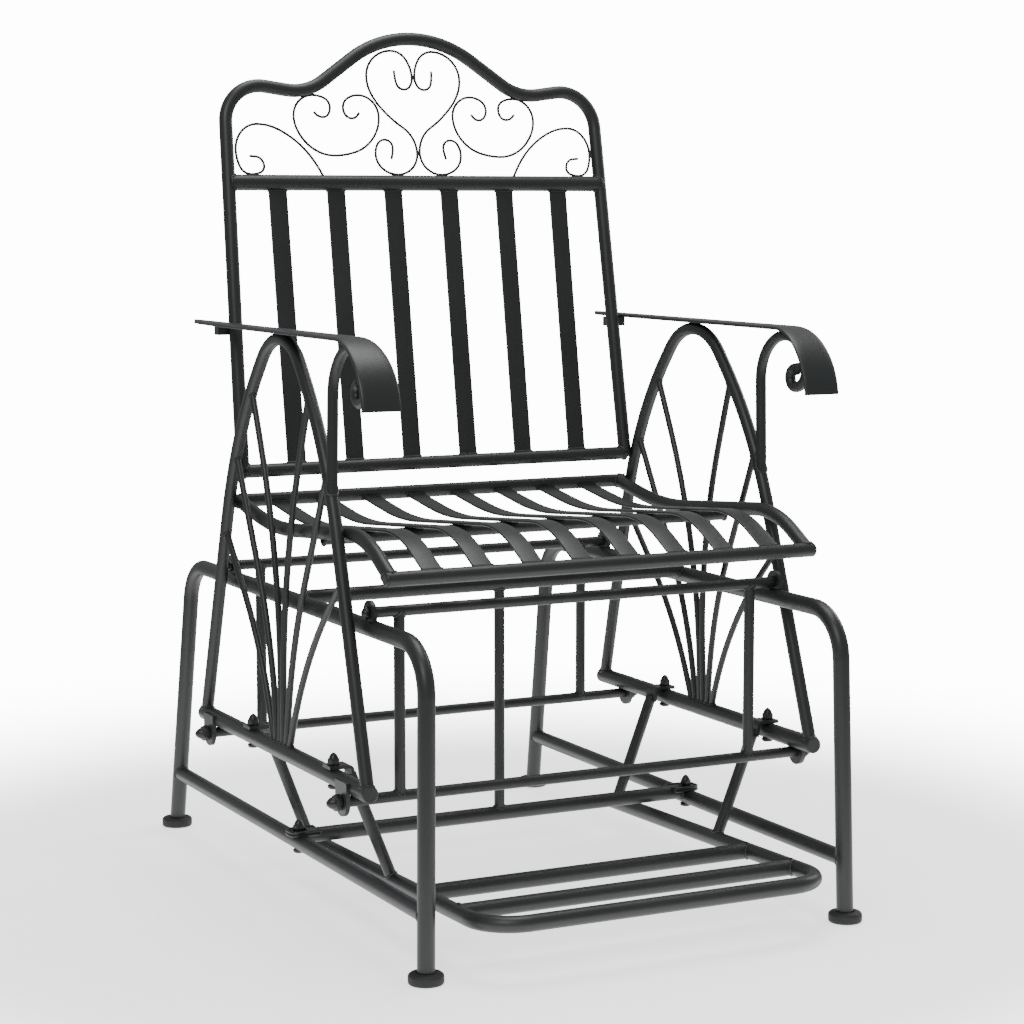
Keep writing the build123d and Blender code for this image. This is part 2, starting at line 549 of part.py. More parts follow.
def make_footrest():
    corners = [(-FOOTREST_X, FOOTREST_REAR_Y), (-FOOTREST_X, FOOTREST_FRONT_Y),
               (FOOTREST_X, FOOTREST_FRONT_Y), (FOOTREST_X, FOOTREST_REAR_Y)]
    path = FilletPolyline(*[on_footrest(x, y) for x, y in corners], radius=FOOTREST_CORNER)
    solid = bar(path, FOOTREST_TUBE)
    bore_end = FOOTREST_REAR_Y - FOOTREST_END_ROUND
    bore_path = FilletPolyline(*[on_footrest(x, min(y, bore_end)) for x, y in corners], radius=FOOTREST_CORNER)
    frame = solid
    for end in (path @ 0, path @ 1):
        rim = frame.edges().filter_by(GeomType.CIRCLE).sort_by_distance(end)[0]
        frame = fillet(rim, FOOTREST_END_ROUND)
    frame = frame - bar(bore_path, FOOTREST_TUBE - 2 * WALL)
    bars = []
    coping_bar = bar(path, FOOTREST_TUBE + 2 * COPE_GAP)
    for y in FOOTREST_BARS_Y:
        line = Line(on_footrest(-FOOTREST_X, y), on_footrest(FOOTREST_X, y))
        bars.append((tube(line, FOOTREST_TUBE) - coping_bar).solids().sort_by(SortBy.VOLUME)[-1])

    arch_rail = bar(arch_rail_path(), ARCH_RAIL_TUBE)
    rail_top = ARCH_RAIL_Z + ARCH_RAIL_TUBE / 2
    rail_bottom = ARCH_RAIL_Z - ARCH_RAIL_TUBE / 2
    struts, bolts, nuts = [], [], []
    for y in STRUTS_Y:
        foot = on_footrest(FOOTREST_X, y)
        hole = rod((ARCH_X, y, rail_bottom), (ARCH_X, y, rail_top + 20), BOLT + 0.4)
        # The upper end is flattened into a tongue that folds over the top of the rail.
        top_z = rail_top + TAB_THICKNESS / 2
        fold = (STRUT_TOP[0] - 1.5, rail_top - 1)
        tongue_path = FilletPolyline((ARCH_X + 9, y, top_z), (fold[0], y, top_z),
                                     (fold[0] - 2.5, y, STRUT_TOP[1] - 6), radius=5)
        section = Plane(tongue_path @ 0, x_dir=(0, 1, 0), z_dir=tongue_path % 0)
        tongue = sweep(section * Rectangle(TAB_WIDTH, TAB_THICKNESS), path=tongue_path)
        leg = tube(Line((STRUT_TOP[0] - 3.5, y, STRUT_TOP[1]), tuple(foot)), STRUT_TUBE)
        strut = (leg + tongue - solid - arch_rail - hole).solids().sort_by(SortBy.VOLUME)[-1]
        struts += both_sides(strut)
        grip = ARCH_RAIL_TUBE + TAB_THICKNESS
        bolts += both_sides(Pos(ARCH_X, y, rail_bottom) * carriage_bolt(grip + 7))
        nuts += both_sides(Pos(ARCH_X, y, rail_bottom + grip) * cap_nut(NUT_WIDTH, 6, 14, BOLT, 7))
    return {
        "footrest_frame": frame,
        "footrest_bars": bars,
        "footrest_struts": struts,
        "strut_bolts": bolts,
        "strut_cap_nuts": nuts,
    }


def save(pieces):
    os.makedirs("parts", exist_ok=True)
    for name, piece in pieces.items():
        solids = []
        for item in piece if isinstance(piece, list) else [piece]:
            solids += (Pos(0, -ORIGIN_Y, 0) * item).solids()
        shape = solids[0] if len(solids) == 1 else Compound(children=solids)
        export_step(shape, os.path.join("parts", name + ".step"))


save(make_base())
save(make_link("front_link", FRONT_PIVOT_Y))
save(make_link("rear_link", REAR_PIVOT_Y))
save(make_side_panels())
save(make_seat())
save(make_back())
save(make_arms())
save(make_footrest())
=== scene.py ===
import json
import math

import bmesh
import bpy
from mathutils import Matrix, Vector


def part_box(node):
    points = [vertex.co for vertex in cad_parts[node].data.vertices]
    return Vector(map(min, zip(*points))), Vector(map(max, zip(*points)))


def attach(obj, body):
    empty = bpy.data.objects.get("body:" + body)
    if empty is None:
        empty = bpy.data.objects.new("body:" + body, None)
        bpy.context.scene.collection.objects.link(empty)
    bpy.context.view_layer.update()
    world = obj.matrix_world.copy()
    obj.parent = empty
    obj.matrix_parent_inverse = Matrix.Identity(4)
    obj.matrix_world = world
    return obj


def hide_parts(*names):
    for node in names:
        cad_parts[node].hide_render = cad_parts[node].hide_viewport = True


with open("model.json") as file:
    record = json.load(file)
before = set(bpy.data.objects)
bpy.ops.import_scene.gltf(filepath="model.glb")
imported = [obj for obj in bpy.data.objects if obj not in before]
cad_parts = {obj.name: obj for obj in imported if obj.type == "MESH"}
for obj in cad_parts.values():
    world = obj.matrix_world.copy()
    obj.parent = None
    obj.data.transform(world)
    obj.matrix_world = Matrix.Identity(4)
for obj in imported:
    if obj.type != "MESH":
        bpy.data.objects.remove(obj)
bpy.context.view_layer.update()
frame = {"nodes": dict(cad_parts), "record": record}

# Free-standing glider chair in dark powder-coated steel. Metres, CAD frame: the sitter's left
# is +X, the back is at +Y and the floor is z = 0.

# ---- Camera, studio floor and light --------------------------------------------------------
# The chair stands in a white studio and is seen from the front, a little to the sitter's
# right and just above the armrests. The floor is a pale disc that fades out into the white.


def add(tree, kind, settings, values):
    """Adds a node, applies its settings, then fills each input with a link or a value."""
    node = tree.nodes.new(kind)
    for key, value in settings.items():
        setattr(node, key, value)
    for key, value in values.items():
        if isinstance(value, bpy.types.NodeSocket):
            tree.links.new(value, node.inputs[key])
        else:
            node.inputs[key].default_value = value
    return node


def srgb(code):
    """A linear colour from an sRGB hex code."""
    parts = [int(code[i:i + 2], 16) / 255 for i in (1, 3, 5)]
    return [c / 12.92 if c <= 0.04045 else ((c + 0.055) / 1.055) ** 2.4 for c in parts] + [1.0]


def new_object(name, data):
    made = bpy.data.objects.new(name, data)
    bpy.context.scene.collection.objects.link(made)
    return made


camera = new_object("camera", bpy.data.cameras.new("camera"))
camera.location = (-1.406, -2.838, 0.836)
camera.rotation_euler = (math.radians(83.19), 0, math.radians(-26.77))
camera.data.lens = 90.6
camera.data.sensor_width = 36
bpy.context.scene.camera = camera

world = bpy.data.worlds.new("white_studio")
bpy.context.scene.world = world
world.use_nodes = True
sky = world.node_tree
sky.nodes.clear()
fill = add(sky, "ShaderNodeBackground", {}, {"Color": srgb("#f4f7fa"), "Strength": 0.5})
backdrop = add(sky, "ShaderNodeBackground", {}, {"Color": (1, 1, 1, 1), "Strength": 14.0})
seen = add(sky, "ShaderNodeLightPath", {}, {})
sky_mix = add(sky, "ShaderNodeMixShader", {},
              {0: seen.outputs["Is Camera Ray"], 1: fill.outputs[0], 2: backdrop.outputs[0]})
add(sky, "ShaderNodeOutputWorld", {}, {"Surface": sky_mix.outputs[0]})

FLOOR_RADIUS = 2.4
FLOOR_SIDES = 96
FLOOR_Z = -0.0005           # just under the feet
FADE_START, FADE_END = 0.65, 1.6
floor_mesh = bpy.data.meshes.new("studio_floor")
turns = [i * math.tau / FLOOR_SIDES for i in range(FLOOR_SIDES)]
rim = [(FLOOR_RADIUS * math.cos(t), FLOOR_RADIUS * math.sin(t), FLOOR_Z) for t in turns]
floor_mesh.from_pydata(rim, [], [list(range(FLOOR_SIDES))])
floor = new_object("studio_floor", floor_mesh)
# Matt white studio floor
floor_paint = bpy.data.materials.new("studio_floor_white")
floor_paint.use_nodes = True
tree = floor_paint.node_tree
tree.nodes.clear()
where = add(tree, "ShaderNodeTexCoord", {}, {})
reach = add(tree, "ShaderNodeVectorMath", {"operation": "LENGTH"}, {0: where.outputs["Object"]})
fade = add(tree, "ShaderNodeMapRange", {"interpolation_type": "SMOOTHSTEP"},
           {"Value": reach.outputs["Value"], "From Min": FADE_START, "From Max": FADE_END,
            "To Min": 1.0, "To Max": 0.0})
paint = add(tree, "ShaderNodeBsdfDiffuse", {}, {"Color": srgb("#f6f6f6")})
glow = add(tree, "ShaderNodeEmission", {}, {"Color": srgb("#ffffff"), "Strength": 1.3})
lit = add(tree, "ShaderNodeAddShader", {}, {0: paint.outputs[0], 1: glow.outputs[0]})
clear = add(tree, "ShaderNodeBsdfTransparent", {}, {})
floor_mix = add(tree, "ShaderNodeMixShader", {},
                {0: fade.outputs[0], 1: clear.outputs[0], 2: lit.outputs[0]})
add(tree, "ShaderNodeOutputMaterial", {}, {"Surface": floor_mix.outputs[0]})
floor_mesh.materials.append(floor_paint)

# name, place and size in metres, power in watts; each lamp faces the middle of the chair
CHAIR_MIDDLE = Vector((0, 0, 0.5))
for name, place, size, power in (("key_softbox", (-2.2, -2.6, 3.0), 1.8, 60),
                                 ("top_softbox", (0.3, 0.2, 3.4), 2.2, 70),
                                 ("rim_softbox", (2.8, 0.8, 1.8), 1.4, 30)):
    lamp = new_object(name, bpy.data.lights.new(name, "AREA"))
    lamp.data.shape = "DISK"
    lamp.data.size = size
    lamp.data.energy = power
    lamp.location = place
    lamp.rotation_euler = (CHAIR_MIDDLE - Vector(place)).to_track_quat("-Z", "Y").to_euler()

# ---- Tubes, rods, lugs and scroll wires ----------------------------------------------------
# All the bent tubes, rods, lugs and wires are mild steel, welded up and then powder coated in
# one satin anthracite. Their CAD shapes are exact, so they stay and only take the coat.


DRIFT_SCALE = 11.0          # noise cells to a metre: one tone patch is about 90 mm
PEEL_SCALE = 850.0          # orange peel of about 1 mm
ROUGHNESS_SPREAD = 0.06


def powder_coat(name, dark, light, roughness):
    """Satin powder coat: slight tone drift over 90 mm and orange peel of about 1 mm."""
    coat = bpy.data.materials.new(name)
    coat.use_nodes = True
    tree = coat.node_tree
    shader = tree.nodes["Principled BSDF"]
    where = add(tree, "ShaderNodeTexCoord", {}, {})
    drift = add(tree, "ShaderNodeTexNoise", {},
                {"Vector": where.outputs["Object"], "Scale": DRIFT_SCALE, "Detail": 3.0})
    tone = add(tree, "ShaderNodeMix", {"data_type": "RGBA"},
               {"Factor": drift.outputs[0], 6: srgb(dark), 7: srgb(light)})
    shine = add(tree, "ShaderNodeMapRange", {},
                {"Value": drift.outputs[0], "To Min": roughness - ROUGHNESS_SPREAD,
                 "To Max": roughness + ROUGHNESS_SPREAD})
    peel = add(tree, "ShaderNodeTexNoise", {},
               {"Vector": where.outputs["Object"], "Scale": PEEL_SCALE, "Detail": 2.0})
    bump = add(tree, "ShaderNodeBump", {},
               {"Height": peel.outputs[0], "Strength": 0.22, "Distance": 0.0003})
    tree.links.new(tone.outputs[2], shader.inputs["Base Color"])
    tree.links.new(shine.outputs[0], shader.inputs["Roughness"])
    tree.links.new(bump.outputs[0], shader.inputs["Normal"])
    return coat


# Satin anthracite powder coat on the frames
steel_coat = powder_coat("anthracite_powder_coat", "#161818", "#202322", 0.43)
# Darker satin coating on the bolts and nuts
fastener_coat = powder_coat("fastener_dark_coating", "#121414", "#1a1c1c", 0.38)
for node_name, cad in frame["nodes"].items():
    is_fastener = "bolts" in node_name or "nuts" in node_name
    cad.data.materials.clear()
    cad.data.materials.append(fastener_coat if is_fastener else steel_coat)

# ---- Weld beads ----------------------------------------------------------------------------
# Every coped tube end is closed by a fillet of MIG weld, ground only lightly before coating.
# The beads follow the outer rims of the coped ends, with one mesh for each moving body.

WELD_NODES = ("base_side_rail", "base_lower_crossbar", "base_upper_crossbar", "base_centre_post",
              "link_posts", "arch_left", "arch_right", "fan_rods", "seat_side_rail", "seat_support",
              "back_upper_crossbar", "back_lower_crossbar", "footrest_bars", "footrest_struts",
              "arm_scroll_rods", "slat")
SHARP = math.radians(35)
NO_LIMIT = 9                # metres, above everything
STRUT_WELD_TOP = 0.12       # above this height the strut's edges belong to its folded tongue
ACROSS_SLAT = 0.02          # only edges this long across the chair are a slat's welded ends
INNER_SHRINK = 0.0008       # an inner rim is smaller than its outer rim by this or more
INNER_SHIFT = 0.004         # and their middles are no further apart than this


def rims(cad):
    """The sharp rims of a CAD node as runs of points, without the inner rim of a tube wall."""
    work = bmesh.new()
    work.from_mesh(cad.data)
    bmesh.ops.remove_doubles(work, verts=work.verts, dist=1e-5)
    top = STRUT_WELD_TOP if "strut" in cad.name else NO_LIMIT
    sharp = [e for e in work.edges if len(e.link_faces) == 2 and e.calc_face_angle(0) > SHARP
             and max(v.co.z for v in e.verts) < top]
    if "slat" in cad.name:
        sharp = [e for e in sharp if abs(e.verts[0].co.x - e.verts[1].co.x) > ACROSS_SLAT]
    work.edges.index_update()
    groups, left = [], {e.index: e for e in sharp}
    while left:
        group, queue = [], [left.pop(next(iter(left)))]
        while queue:
            edge = queue.pop()
            group.append(tuple(v.co.copy() for v in edge.verts))
            for v in edge.verts:
                for other in v.link_edges:
                    if other.index in left:
                        queue.append(left.pop(other.index))
        groups.append(group)
    work.free()
    sized = []
    for group in groups:
        points = [p for pair in group for p in pair]
        middle = sum(points, Vector()) / len(points)
        sized.append((max((p - middle).length for p in points), middle, group))
    return [g for size, middle, g in sized
            if not any(other > size + INNER_SHRINK and (m - middle).length < INNER_SHIFT
                       for other, m, _ in sized)]


def bead_tree():
    """Edges become a rippled round bead of the given radius."""
    tree = bpy.data.node_groups.new("weld_bead", "GeometryNodeTree")
    tree.interface.new_socket("Rims", in_out="INPUT", socket_type="NodeSocketGeometry")
    for label, kind in (("Bead Radius", "NodeSocketFloat"), ("Step", "NodeSocketFloat"),
                        ("Ripple", "NodeSocketFloat"), ("Finish", "NodeSocketMaterial")):
        tree.interface.new_socket(label, in_out="INPUT", socket_type=kind)
    tree.interface.new_socket("Beads", in_out="OUTPUT", socket_type="NodeSocketGeometry")
    given = add(tree, "NodeGroupInput", {}, {}).outputs
    merged = add(tree, "GeometryNodeMergeByDistance", {},
                 {"Geometry": given["Rims"], "Distance": 0.00005})
    line = add(tree, "GeometryNodeMeshToCurve", {}, {"Mesh": merged.outputs[0]})
    even = add(tree, "GeometryNodeResampleCurve", {"mode": "LENGTH"},
               {"Curve": line.outputs[0], "Length": given["Step"]})
    profile = add(tree, "GeometryNodeCurvePrimitiveCircle", {},
                  {"Resolution": 7, "Radius": given["Bead Radius"]})
    bead = add(tree, "GeometryNodeCurveToMesh", {},
               {"Curve": even.outputs[0], "Profile Curve": profile.outputs[0], "Fill Caps": True})
    wave = add(tree, "ShaderNodeTexNoise", {}, {"Scale": 420.0, "Detail": 1.0})
    swing = add(tree, "ShaderNodeMath", {"operation": "SUBTRACT"}, {0: wave.outputs[0], 1: 0.5})
    amount = add(tree, "ShaderNodeMath", {"operation": "MULTIPLY"},
                 {0: swing.outputs[0], 1: given["Ripple"]})
    normal = add(tree, "GeometryNodeInputNormal", {}, {})
    push = add(tree, "ShaderNodeVectorMath", {"operation": "SCALE"},
               {0: normal.outputs[0], "Scale": amount.outputs[0]})
    rippled = add(tree, "GeometryNodeSetPosition", {},
                  {"Geometry": bead.outputs[0], "Offset": push.outputs[0]})
    smooth = add(tree, "GeometryNodeSetShadeSmooth", {}, {"Geometry": rippled.outputs[0]})
    real = add(tree, "GeometryNodeRealizeInstances", {}, {"Geometry": smooth.outputs[0]})
    coated = add(tree, "GeometryNodeSetMaterial", {},
                 {"Geometry": real.outputs[0], "Material": given["Finish"]})
    add(tree, "NodeGroupOutput", {}, {0: coated.outputs[0]})
    return tree


def grow(name, source, tree, inputs):
    """Runs a node tree on a source mesh and keeps the result as a plain mesh object."""
    seed = new_object(name + "_seed", source)
    modifier = seed.modifiers.new("grow", "NODES")
    modifier.node_group = tree
    for item in tree.interface.items_tree:
        if item.item_type == "SOCKET" and item.in_out == "INPUT" and item.name in inputs:
            modifier[item.identifier] = inputs[item.name]
    seed.update_tag()
    graph = bpy.context.evaluated_depsgraph_get()
    graph.update()
    mesh = bpy.data.meshes.new_from_object(seed.evaluated_get(graph))
    mesh.name = name
    bpy.data.objects.remove(seed)
    return new_object(name, mesh)


BEAD = {"Bead Radius": 0.0017, "Step": 0.0026, "Ripple": 0.0012, "Finish": steel_coat}
beads = bead_tree()
for body, members in frame["record"]["behaviour"]["bodies"].items():
    points, edges = [], []
    for member in members:
        if any(key in member for key in WELD_NODES):
            for group in rims(frame["nodes"][member]):
                for a, b in group:
                    edges.append((len(points), len(points) + 1))
                    points += [a, b]
    rim_mesh = bpy.data.meshes.new("rims_" + body)
    rim_mesh.from_pydata(points, edges, [])
    welds = grow("welds_" + body, rim_mesh, beads, BEAD)
    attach(welds, body)

# ---- Seat and back slats -------------------------------------------------------------------
# Flat steel strip, 25 x 3 mm with rolled round edges, cut to length and welded to the rails:
# eight dip and rise over the seat, and six stand upright in the back.

SLAT_WIDTH = 0.025
SLAT_THICKNESS = 0.003
SLAT_EDGE = 0.0013


def strip_tree():
    """A path of points becomes one round-edged strip, repeated in a row across the chair."""
    tree = bpy.data.node_groups.new("slat_row", "GeometryNodeTree")
    tree.interface.new_socket("Path", in_out="INPUT", socket_type="NodeSocketGeometry")
    for label, kind in (("Width", "NodeSocketFloat"), ("Thickness", "NodeSocketFloat"),
                        ("Edge Radius", "NodeSocketFloat"), ("Count", "NodeSocketInt"),
                        ("Pitch", "NodeSocketFloat"), ("Finish", "NodeSocketMaterial")):
        tree.interface.new_socket(label, in_out="INPUT", socket_type=kind)
    tree.interface.new_socket("Slats", in_out="OUTPUT", socket_type="NodeSocketGeometry")
    given = add(tree, "NodeGroupInput", {}, {}).outputs
    line = add(tree, "GeometryNodeMeshToCurve", {}, {"Mesh": given["Path"]})
    bend = add(tree, "GeometryNodeInputNamedAttribute", {"data_type": "FLOAT"}, {"Name": "bend"})
    bent = add(tree, "GeometryNodeFilletCurve", {"mode": "POLY"},
               {"Curve": line.outputs[0], "Radius": bend.outputs[0], "Count": 14, "Limit Radius": True})
    level = add(tree, "GeometryNodeSetCurveNormal", {"mode": "Z_UP"}, {"Curve": bent.outputs[0]})
    flat = add(tree, "GeometryNodeCurvePrimitiveQuadrilateral", {},
               {"Width": given["Width"], "Height": given["Thickness"]})
    rolled = add(tree, "GeometryNodeFilletCurve", {"mode": "POLY"},
                 {"Curve": flat.outputs[0], "Radius": given["Edge Radius"], "Count": 4,
                  "Limit Radius": True})
    body = add(tree, "GeometryNodeCurveToMesh", {},
               {"Curve": level.outputs[0], "Profile Curve": rolled.outputs[0], "Fill Caps": True})
    angle = add(tree, "GeometryNodeInputMeshEdgeAngle", {}, {})
    soft = add(tree, "ShaderNodeMath", {"operation": "LESS_THAN"}, {0: angle.outputs[0], 1: 0.6})
    smooth = add(tree, "GeometryNodeSetShadeSmooth", {"domain": "FACE"}, {"Geometry": body.outputs[0]})
    crisp = add(tree, "GeometryNodeSetShadeSmooth", {"domain": "EDGE"},
                {"Geometry": smooth.outputs[0], "Shade Smooth": soft.outputs[0]})
    less = add(tree, "ShaderNodeMath", {"operation": "SUBTRACT"}, {0: given["Count"], 1: 1.0})
    half = add(tree, "ShaderNodeMath", {"operation": "MULTIPLY"}, {0: less.outputs[0], 1: -0.5})
    first = add(tree, "ShaderNodeMath", {"operation": "MULTIPLY"},
                {0: half.outputs[0], 1: given["Pitch"]})
    start = add(tree, "ShaderNodeCombineXYZ", {}, {"X": first.outputs[0]})
    offset = add(tree, "ShaderNodeCombineXYZ", {}, {"X": given["Pitch"]})
    row = add(tree, "GeometryNodeMeshLine", {},
              {"Count": given["Count"], "Start Location": start.outputs[0],
               "Offset": offset.outputs[0]})
    placed = add(tree, "GeometryNodeInstanceOnPoints", {},
                 {"Points": row.outputs[0], "Instance": crisp.outputs[0]})
    real = add(tree, "GeometryNodeRealizeInstances", {}, {"Geometry": placed.outputs[0]})
    coated = add(tree, "GeometryNodeSetMaterial", {},
                 {"Geometry": real.outputs[0], "Material": given["Finish"]})
    add(tree, "NodeGroupOutput", {}, {0: coated.outputs[0]})
    return tree


def axis_of(node):
    """Height and depth of the axis of a straight crosswise tube."""
    low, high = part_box(node)
    return Vector((0, (low[1] + high[1]) / 2, (low[2] + high[2]) / 2))


def pitch_of(name, count):
    """Spacing of a row of equal CAD slats, from the first and the last."""
    return (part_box(name % count)[0][0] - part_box(name % 1)[0][0]) / (count - 1)


def slat_path(name, points, bends):
    """A path mesh whose points carry the bend radius at each corner."""
    mesh = bpy.data.meshes.new(name)
    mesh.from_pydata(points, [(i, i + 1) for i in range(len(points) - 1)], [])
    mesh.attributes.new("bend", "FLOAT", "POINT").data.foreach_set("value", bends)
    return mesh


# The seat slats run from the front of the rear rail through a dip and a crest to the front rail.
slats = strip_tree()
rear_axis, front_axis = axis_of("seat_rear_rail"), axis_of("seat_front_rail")
rear_end = rear_axis + Vector((0, 0, -0.003))
dip = rear_axis + Vector((0, -0.121, -0.0205))
crest = dip + Vector((0, -0.270, 0.0235))
front_end = front_axis + Vector((0, 0.002, 0.005))
upper_axis, lower_axis = axis_of("back_upper_crossbar"), axis_of("back_lower_crossbar")
for name, count, node, points, bends in (
        ("seat_slats", 8, "seat_slat_%d", [rear_end, dip, crest, front_end], [0, 0.45, 0.14, 0]),
        ("back_slats", 6, "back_slat_%d", [lower_axis, upper_axis], [0, 0])):
    row = grow(name, slat_path(name + "_path", points, bends), slats,
               {"Width": SLAT_WIDTH, "Thickness": SLAT_THICKNESS, "Edge Radius": SLAT_EDGE,
                "Count": count, "Pitch": pitch_of(node, count), "Finish": steel_coat})
    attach(row, "seat")
    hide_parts(*[node % (i + 1) for i in range(count)])

# ---- Armrests ------------------------------------------------------------------------------
# Two flat bars, slightly crowned and rounded at the edges. Each is forged to a point at the
# rear, widens at the front and curls down; it is welded to the top of its arch.

ARM_THICKNESS = 0.005
ARM_CROWN = 0.0007
ARM_LENGTH = 0.487          # flat part, from the start of the curl to the rear point
ARM_TIP = 0.4855            # the first section stands this far behind the curl
CURL_RADIUS = 0.087         # outer face of the curl
CURL_ANGLE = math.radians(84)
FLAT_STEPS = 72
CURL_STEPS = 32
PROFILE = 20                # points round the cross-section
# inner and outer edge of the left strip: distance behind the start of the curl, then x
INNER_EDGE = [(-0.106, 0.2590), (-0.071, 0.2600), (-0.001, 0.2680), (0.379, 0.2768), (0.444, 0.2795),
              (0.475, 0.2836), (ARM_LENGTH, 0.2890)]
OUTER_EDGE = [(-0.106, 0.3065), (-0.071, 0.3060), (-0.001, 0.3040), (0.379, 0.3030), (0.444, 0.2995),
              (0.475, 0.2945), (ARM_LENGTH, 0.2890)]


def along(table, at):
    """Straight-line lookup in a table of (place, value)."""
    for (a, va), (b, vb) in zip(table, table[1:]):
        if at <= b:
            return va + (vb - va) * (at - a) / (b - a)
    return table[-1][1]


arm_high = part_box("armrest_left")[1]
curl_y = arm_high[1] - ARM_LENGTH
top_z = arm_high[2]
# middle of the strip, its outward direction and its place in the edge tables
stations = []
for i in range(FLAT_STEPS):
    back = ARM_LENGTH * (1 - i / FLAT_STEPS) if i else ARM_TIP
    stations.append((Vector((0, curl_y + back, top_z - ARM_THICKNESS / 2)), Vector((0, 0, 1)), back))
curl_centre = Vector((0, curl_y, top_z - CURL_RADIUS))
for i in range(CURL_STEPS + 1):
    turn = CURL_ANGLE * i / CURL_STEPS
    out = Vector((0, -math.sin(turn), math.cos(turn)))
    middle = curl_centre + out * (CURL_RADIUS - ARM_THICKNESS / 2)
    stations.append((middle, out, -CURL_RADIUS * math.sin(turn)))
for name, sign in (("armrest_strip_left", 1), ("armrest_strip_right", -1)):
    work = bmesh.new()
    rings = []
    for middle, out, place in stations:
        inner, outer = along(INNER_EDGE, place), along(OUTER_EDGE, place)
        half, centre_x = (outer - inner) / 2, (outer + inner) / 2
        ring = []
        for k in range(PROFILE):
            angle = math.tau * (k + 0.5) / PROFILE
            c, s = math.cos(angle), math.sin(angle)
            across = math.copysign(abs(c) ** 0.35, c)
            height = math.copysign(abs(s) ** 0.6, s) * ARM_THICKNESS / 2
            crown = -ARM_CROWN * across * across
            x = sign * (centre_x + half * across)
            ring.append(work.verts.new(middle + Vector((x, 0, 0)) + out * (height + crown)))
        rings.append(ring)
    for a, b in zip(rings, rings[1:]):
        for k in range(PROFILE):
            work.faces.new((a[k], a[(k + 1) % PROFILE], b[(k + 1) % PROFILE], b[k]))
    work.faces.new(rings[0])
    work.faces.new(rings[-1])
    bmesh.ops.remove_doubles(work, verts=work.verts, dist=1e-5)
    bmesh.ops.recalc_face_normals(work, faces=work.faces)
    mesh = bpy.data.meshes.new(name)
    work.to_mesh(mesh)
    work.free()
    mesh.materials.append(steel_coat)
    mesh.shade_smooth()
    mesh.set_sharp_from_angle(angle=math.radians(50))
    arm = new_object(name, mesh)
    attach(arm, "seat")
    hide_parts(name.replace("strip_", ""))

# ---- Cap nuts ------------------------------------------------------------------------------
# Pressed steel cap nuts with a chamfered hexagon and a pointed dome. They close the pivot
# studs of both link frames and the bolts of the crossbar and the struts.

NUT_SEGMENTS = 48
# height as a share of the nut's and radius in half widths; None is the hexagon itself
NUT_RINGS = [(0.0, 1.01), (0.06, None), (0.40, None), (0.47, 1.025), (0.49, 0.86), (0.56, 0.82),
             (0.68, 0.74), (0.80, 0.60), (0.90, 0.42), (0.965, 0.24), (0.992, 0.11)]


def unit_nut():
    """A cap nut 1 across the flats and 1 high, standing on the XY plane."""
    work = bmesh.new()
    rings = []
    for height, radius in NUT_RINGS:
        ring = []
        for k in range(NUT_SEGMENTS):
            angle = math.tau * k / NUT_SEGMENTS
            hexagon = 0.5 / math.cos((angle % (math.tau / 6)) - math.tau / 12)
            r = hexagon if radius is None else min(hexagon, radius / 2)
            ring.append(work.verts.new((r * math.cos(angle), r * math.sin(angle), height)))
        rings.append(ring)
    for a, b in zip(rings, rings[1:]):
        for k in range(NUT_SEGMENTS):
            n = (k + 1) % NUT_SEGMENTS
            work.faces.new((a[k], a[n], b[n], b[k]))
    work.faces.new(rings[0][::-1])
    tip = work.verts.new((0, 0, 1))
    for k in range(NUT_SEGMENTS):
        work.faces.new((rings[-1][k], rings[-1][(k + 1) % NUT_SEGMENTS], tip))
    bmesh.ops.recalc_face_normals(work, faces=work.faces)
    mesh = bpy.data.meshes.new("unit_cap_nut")
    work.to_mesh(mesh)
    work.free()
    mesh.shade_smooth()
    mesh.set_sharp_from_angle(angle=math.radians(28))
    return mesh


def nut_tree():
    """A nut stands on every point, turned to the point's facing and scaled to its size."""
    tree = bpy.data.node_groups.new("cap_nuts", "GeometryNodeTree")
    tree.interface.new_socket("Points", in_out="INPUT", socket_type="NodeSocketGeometry")
    tree.interface.new_socket("Nut", in_out="INPUT", socket_type="NodeSocketObject")
    tree.interface.new_socket("Finish", in_out="INPUT", socket_type="NodeSocketMaterial")
    tree.interface.new_socket("Nuts", in_out="OUTPUT", socket_type="NodeSocketGeometry")
    given = add(tree, "NodeGroupInput", {}, {}).outputs
    vector = {"data_type": "FLOAT_VECTOR"}
    facing = add(tree, "GeometryNodeInputNamedAttribute", vector, {"Name": "facing"})
    size = add(tree, "GeometryNodeInputNamedAttribute", vector, {"Name": "size"})
    turn = add(tree, "FunctionNodeAlignRotationToVector", {"axis": "Z"}, {"Vector": facing.outputs[0]})
    nut = add(tree, "GeometryNodeObjectInfo", {"transform_space": "ORIGINAL"}, {"Object": given["Nut"]})
    placed = add(tree, "GeometryNodeInstanceOnPoints", {},
                 {"Points": given["Points"], "Instance": nut.outputs["Geometry"],
                  "Rotation": turn.outputs[0], "Scale": size.outputs[0]})
    real = add(tree, "GeometryNodeRealizeInstances", {}, {"Geometry": placed.outputs[0]})
    coated = add(tree, "GeometryNodeSetMaterial", {},
                 {"Geometry": real.outputs[0], "Material": given["Finish"]})
    add(tree, "NodeGroupOutput", {}, {0: coated.outputs[0]})
    return tree


def nut_points(name, nuts):
    """Points for the nuts as (place, facing, width, height), given for the left side only."""
    both = [(Vector((s * p[0], p[1], p[2])), (s * f[0], f[1], f[2]), (w, w, h))
            for p, f, w, h in nuts for s in (1, -1)]
    mesh = bpy.data.meshes.new(name)
    mesh.from_pydata([p for p, _, _ in both], [], [])
    for key, column in (("facing", 1), ("size", 2)):
        values = [value for row in both for value in row[column]]
        mesh.attributes.new(key, "FLOAT_VECTOR", "POINT").data.foreach_set("vector", values)
    return mesh


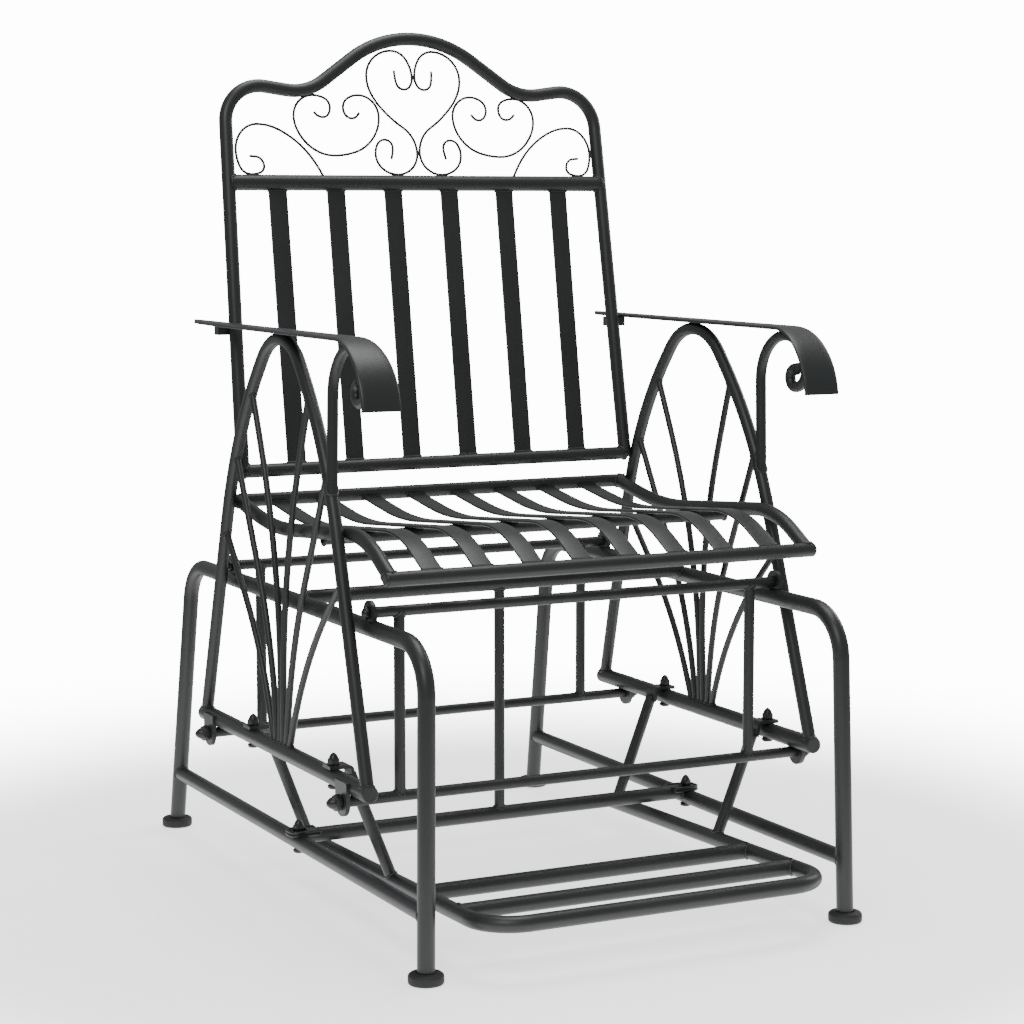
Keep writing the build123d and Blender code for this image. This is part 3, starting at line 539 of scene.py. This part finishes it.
OUTWARD, UPWARD = (1, 0, 0), (0, 0, 1)
NUT_WIDTH = 0.013           # across the flats; the lower pivots have a larger nut
BOLT_NUT_HEIGHT = 0.014
# rod of the link frame, length of its stud in the nut, then width and height of the nut
PIVOT_NUTS = (("_upper_rod", 0.004, NUT_WIDTH, 0.008), ("_lower_rod", 0.007, 0.017, 0.017))
corner = NUT_WIDTH / math.sqrt(3)
nut_source = new_object("unit_cap_nut", unit_nut())
nuts = nut_tree()
jobs = []
for link in ("front_link", "rear_link"):
    placed = []
    for part, stud, width, height in PIVOT_NUTS:
        low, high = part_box(link + part)
        place = (high[0] - stud, (low[1] + high[1]) / 2, (low[2] + high[2]) / 2)
        placed.append((place, OUTWARD, width, height))
    jobs.append((link + "_nuts", link, link + "_cap_nuts", placed))
low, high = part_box("crossbar_cap_nuts")
place = (high[0] - corner, (low[1] + high[1]) / 2, low[2])
jobs.append(("crossbar_nuts", "base", "crossbar_cap_nuts",
             [(place, UPWARD, NUT_WIDTH, BOLT_NUT_HEIGHT)]))
low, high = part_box("strut_cap_nuts")
rows = (low[1] + NUT_WIDTH / 2, high[1] - NUT_WIDTH / 2)
jobs.append(("strut_nuts", "seat", "strut_cap_nuts",
             [((high[0] - corner, y, low[2]), UPWARD, NUT_WIDTH, BOLT_NUT_HEIGHT) for y in rows]))
for name, body, node, placed in jobs:
    points = nut_points(name + "_points", placed)
    made = grow(name, points, nuts, {"Nut": nut_source, "Finish": fastener_coat})
    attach(made, body)
    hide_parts(node)
bpy.data.objects.remove(nut_source)

# ---- Foot caps -----------------------------------------------------------------------------
# Four moulded rubber caps, pushed over the ends of the legs. Each has a flat tread, a short
# upright side and a lip that slopes in to the tube.

CAP_RADIUS = 0.02
CAP_SEGMENTS = 48
# radius and height of the moulded outline, from the tread round the lip and into the bore
CAP_OUTLINE = [(0.0172, 0.0), (0.0188, 0.0004), (0.0197, 0.0015), (CAP_RADIUS, 0.003),
               (CAP_RADIUS, 0.0088), (0.0196, 0.0102), (0.0178, 0.0118), (0.0150, 0.0127),
               (0.0120, 0.0131), (0.0106, 0.0129), (0.0101, 0.0118), (0.0101, 0.0042)]


def rubber():
    """Dark matt rubber with a fine moulded grain of about 0.5 mm."""
    made = bpy.data.materials.new("moulded_foot_rubber")
    made.use_nodes = True
    tree = made.node_tree
    shader = tree.nodes["Principled BSDF"]
    where = add(tree, "ShaderNodeTexCoord", {}, {})
    grain = add(tree, "ShaderNodeTexNoise", {},
                {"Vector": where.outputs["Object"], "Scale": 1900.0, "Detail": 2.0})
    bump = add(tree, "ShaderNodeBump", {},
               {"Height": grain.outputs[0], "Strength": 0.25, "Distance": 0.0002})
    shader.inputs["Base Color"].default_value = srgb("#161717")
    shader.inputs["Roughness"].default_value = 0.7
    tree.links.new(bump.outputs[0], shader.inputs["Normal"])
    return made


low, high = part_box("foot_caps")
work = bmesh.new()
for x in (low[0] + CAP_RADIUS, high[0] - CAP_RADIUS):
    for y in (low[1] + CAP_RADIUS, high[1] - CAP_RADIUS):
        rings = []
        for radius, height in CAP_OUTLINE:
            rings.append([work.verts.new((x + radius * math.cos(math.tau * k / CAP_SEGMENTS),
                                          y + radius * math.sin(math.tau * k / CAP_SEGMENTS), height))
                          for k in range(CAP_SEGMENTS)])
        for a, b in zip(rings, rings[1:]):
            for k in range(CAP_SEGMENTS):
                n = (k + 1) % CAP_SEGMENTS
                work.faces.new((a[k], a[n], b[n], b[k]))
        work.faces.new(rings[0][::-1])
        work.faces.new(rings[-1])
bmesh.ops.recalc_face_normals(work, faces=work.faces)
cap_mesh = bpy.data.meshes.new("rubber_foot_caps")
work.to_mesh(cap_mesh)
work.free()
cap_mesh.materials.append(rubber())
cap_mesh.shade_smooth()
cap_mesh.set_sharp_from_angle(angle=math.radians(60))
caps = new_object("rubber_foot_caps", cap_mesh)
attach(caps, "base")
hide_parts("foot_caps")
